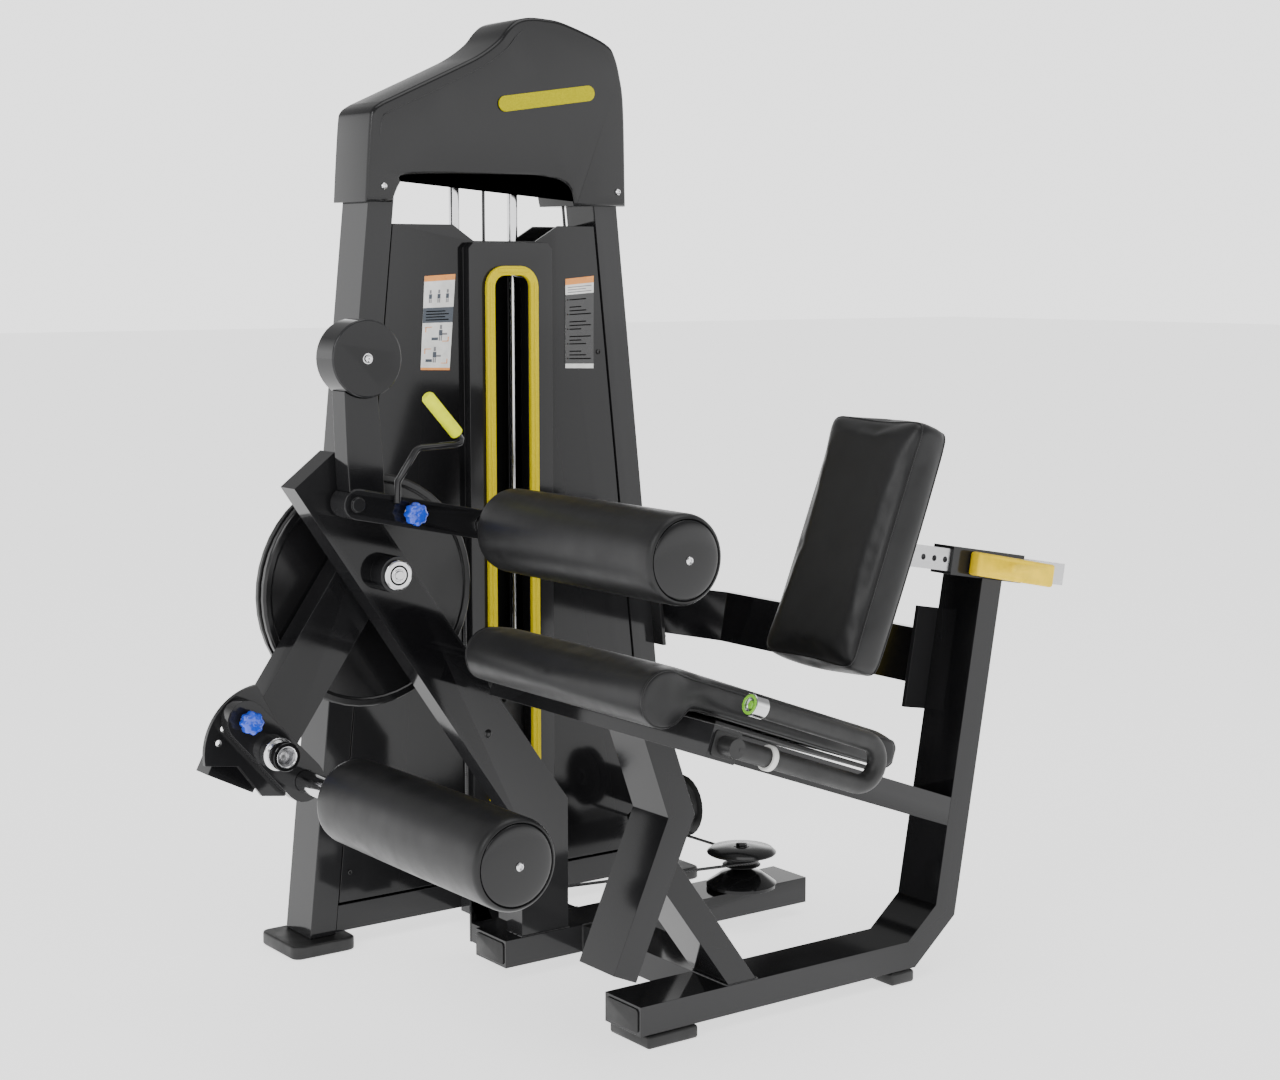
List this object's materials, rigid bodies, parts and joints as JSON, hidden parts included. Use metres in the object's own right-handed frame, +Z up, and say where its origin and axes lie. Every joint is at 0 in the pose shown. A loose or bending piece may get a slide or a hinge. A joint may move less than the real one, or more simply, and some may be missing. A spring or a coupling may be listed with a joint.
{
  "type": "seated leg exercise machine",
  "caption": "Weight-stack machine with seat, backrest, padded shin and thigh rollers, cam lever, cable and pulleys in a tall tower.",
  "frame": {"origin": "middle of the whole machine's outline, on the floor", "axes": "+Z up, the user faces -X, the weight tower stands at +Y"},
  "size_m": [1.5104, 1.1764, 1.735],
  "materials": {
    "frame_paint": "glossy black paint",
    "cover_panel": "glossy black moulding",
    "pad_vinyl": "satin black vinyl",
    "black_rubber": "matte black",
    "plate_iron": "black",
    "bright_steel": "polished",
    "yellow_trim": "satin yellow",
    "badge_plastic": "satin olive yellow",
    "lemon_grip": "matte lemon",
    "lever_yellow": "glossy yellow",
    "blue_knob": "glossy blue",
    "cable_sheath": "dark coated cable"
  },
  "bodies": {
    "frame": {"base_and_column": "frame_paint", "floor_crossbar": "frame_paint", "tower_left_post": "frame_paint", "tower_right_post": "frame_paint", "tower_base_tube": "frame_paint", "tower_top_beam": "frame_paint", "seat_frame": "frame_paint", "tie_rail": "frame_paint", "pivot_post": "frame_paint", "front_foot": "black_rubber", "rear_foot": "black_rubber", "tower_left_foot": "black_rubber", "tower_right_foot": "black_rubber", "left_guide_rod": "bright_steel", "right_guide_rod": "bright_steel", "head_cover": "cover_panel", "head_badge": "badge_plastic", "front_cover": "cover_panel", "rear_cover": "cover_panel", "window_trim": "yellow_trim", "resting_plates": "plate_iron", "left_stack_buffer": "black_rubber", "right_stack_buffer": "black_rubber", "seat_cushion": "pad_vinyl", "seat_board": "black_rubber", "near_handle": "black_rubber", "near_handle_end": "bright_steel", "far_handle": "black_rubber", "far_handle_end": "bright_steel", "floor_pulley_guard": "black_rubber", "lift_cable": "cable_sheath"},
    "stack": {"lifted_plates": "plate_iron", "stack_top_plate": "plate_iron"},
    "selector": {"selector_pin": "lever_yellow"},
    "lever": {"lever_arm": "frame_paint", "main_axle": "bright_steel", "cable_cam": "cover_panel"},
    "shin_link": {"shin_bracket": "frame_paint", "adjuster_pivot_pin": "bright_steel", "shin_axle": "bright_steel"},
    "shin_pad": {"shin_roller": "pad_vinyl"},
    "shin_pin": {"shin_pull_pin": "blue_knob"},
    "thigh_bar": {"thigh_arm": "frame_paint", "counterweight": "frame_paint", "release_bar": "frame_paint", "release_grip": "lemon_grip", "thigh_axle": "bright_steel"},
    "thigh_pad": {"thigh_roller": "pad_vinyl"},
    "thigh_pin": {"thigh_pull_pin": "blue_knob"},
    "backrest": {"backrest_cushion": "pad_vinyl", "backrest_plate": "frame_paint", "backrest_slide": "bright_steel"},
    "backrest_lever": {"slide_lever": "lever_yellow"},
    "head_wheel_one": {"head_pulley_one": "black_rubber"},
    "head_wheel_two": {"head_pulley_two": "black_rubber"},
    "tower_wheel": {"tower_pulley": "black_rubber"},
    "guide_wheel": {"guide_pulley": "black_rubber"},
    "floor_wheel": {"floor_pulley": "black_rubber"},
    "cam_wheel": {"cam_pulley": "black_rubber"}
  },
  "joints": [
    {"name": "lever_swing", "type": "hinge", "parent": "frame", "child": "lever", "pos_m": [-0.44184, 0.19725, 0.7549], "axis": [0, -1, 0], "range_deg": [0, 38], "deforming": ["lift_cable"]},
    {"name": "stack_lift", "type": "slide", "parent": "frame", "child": "stack", "axis": [0, 0, 1], "range_m": [0, 0.15]},
    {"name": "selector_pull", "type": "slide", "parent": "stack", "child": "selector", "axis": [0, -1, 0], "range_m": [0, 0.045]},
    {"name": "shin_adjust", "type": "hinge", "parent": "lever", "child": "shin_link", "pos_m": [-0.64324, 0.16725, 0.468], "axis": [0, 1, 0], "range_deg": [0, 60]},
    {"name": "shin_roll", "type": "hinge", "parent": "shin_link", "child": "shin_pad", "pos_m": [-0.58724, -0.25275, 0.412], "axis": [0, 1, 0], "continuous": true},
    {"name": "shin_pin_pull", "type": "slide", "parent": "shin_link", "child": "shin_pin", "axis": [0, -1, 0], "range_m": [0, 0.012], "stiffness_N_per_m": 400, "springref_m": -0.01},
    {"name": "thigh_swing", "type": "hinge", "parent": "frame", "child": "thigh_bar", "pos_m": [-0.52624, 0.09725, 0.88], "axis": [0, -1, 0], "range_deg": [-10, 60]},
    {"name": "thigh_roll", "type": "hinge", "parent": "thigh_bar", "child": "thigh_pad", "pos_m": [-0.28224, -0.25275, 0.83], "axis": [0, 1, 0], "continuous": true},
    {"name": "thigh_pin_pull", "type": "slide", "parent": "thigh_bar", "child": "thigh_pin", "axis": [0, -1, 0], "range_m": [0, 0.012], "stiffness_N_per_m": 400, "springref_m": -0.01},
    {"name": "backrest_adjust", "type": "slide", "parent": "frame", "child": "backrest", "axis": [0.9854, 0, -0.1702], "range_m": [-0.09, 0.08]},
    {"name": "backrest_lever_lift", "type": "hinge", "parent": "frame", "child": "backrest_lever", "pos_m": [0.58276, -0.29825, 0.72917], "axis": [0, 1, 0], "range_deg": [0, 12], "stiffness_Nm_per_rad": 3, "springref_deg": -20.05},
    {"name": "head_wheel_one_spin", "type": "hinge", "parent": "frame", "child": "head_wheel_one", "pos_m": [0.04176, 0.52425, 1.565], "axis": [0, 1, 0], "range_deg": [-10, 340]},
    {"name": "head_wheel_two_spin", "type": "hinge", "parent": "frame", "child": "head_wheel_two", "pos_m": [0.13676, 0.52425, 1.565], "axis": [0, 1, 0], "range_deg": [-10, 340]},
    {"name": "tower_wheel_spin", "type": "hinge", "parent": "frame", "child": "tower_wheel", "pos_m": [0.32276, 0.52025, 0.177], "axis": [-1, 0, 0], "range_deg": [-10, 340]},
    {"name": "guide_wheel_spin", "type": "hinge", "parent": "frame", "child": "guide_wheel", "pos_m": [0.32276, 0.31625, 0.203], "axis": [-1, 0, 0], "range_deg": [-10, 340]},
    {"name": "floor_wheel_spin", "type": "hinge", "parent": "frame", "child": "floor_wheel", "pos_m": [0.34476, 0.14725, 0.128], "axis": [0, 0, -1], "range_deg": [-10, 340]},
    {"name": "cam_wheel_spin", "type": "hinge", "parent": "frame", "child": "cam_wheel", "pos_m": [-0.16124, 0.26175, 0.158], "axis": [0, 1, 0], "range_deg": [-10, 340]}
  ],
  "couplings": [
    {"joint": "stack_lift", "follows": "lever_swing", "m_per_rad": 0.2},
    {"joint": "head_wheel_one_spin", "follows": "lever_swing", "ratio": 5.5556},
    {"joint": "head_wheel_two_spin", "follows": "lever_swing", "ratio": 5.5556},
    {"joint": "tower_wheel_spin", "follows": "lever_swing", "ratio": 6.6667},
    {"joint": "guide_wheel_spin", "follows": "lever_swing", "ratio": 3.5714},
    {"joint": "floor_wheel_spin", "follows": "lever_swing", "ratio": 6.25},
    {"joint": "cam_wheel_spin", "follows": "lever_swing", "ratio": 4.4444}
  ]
}
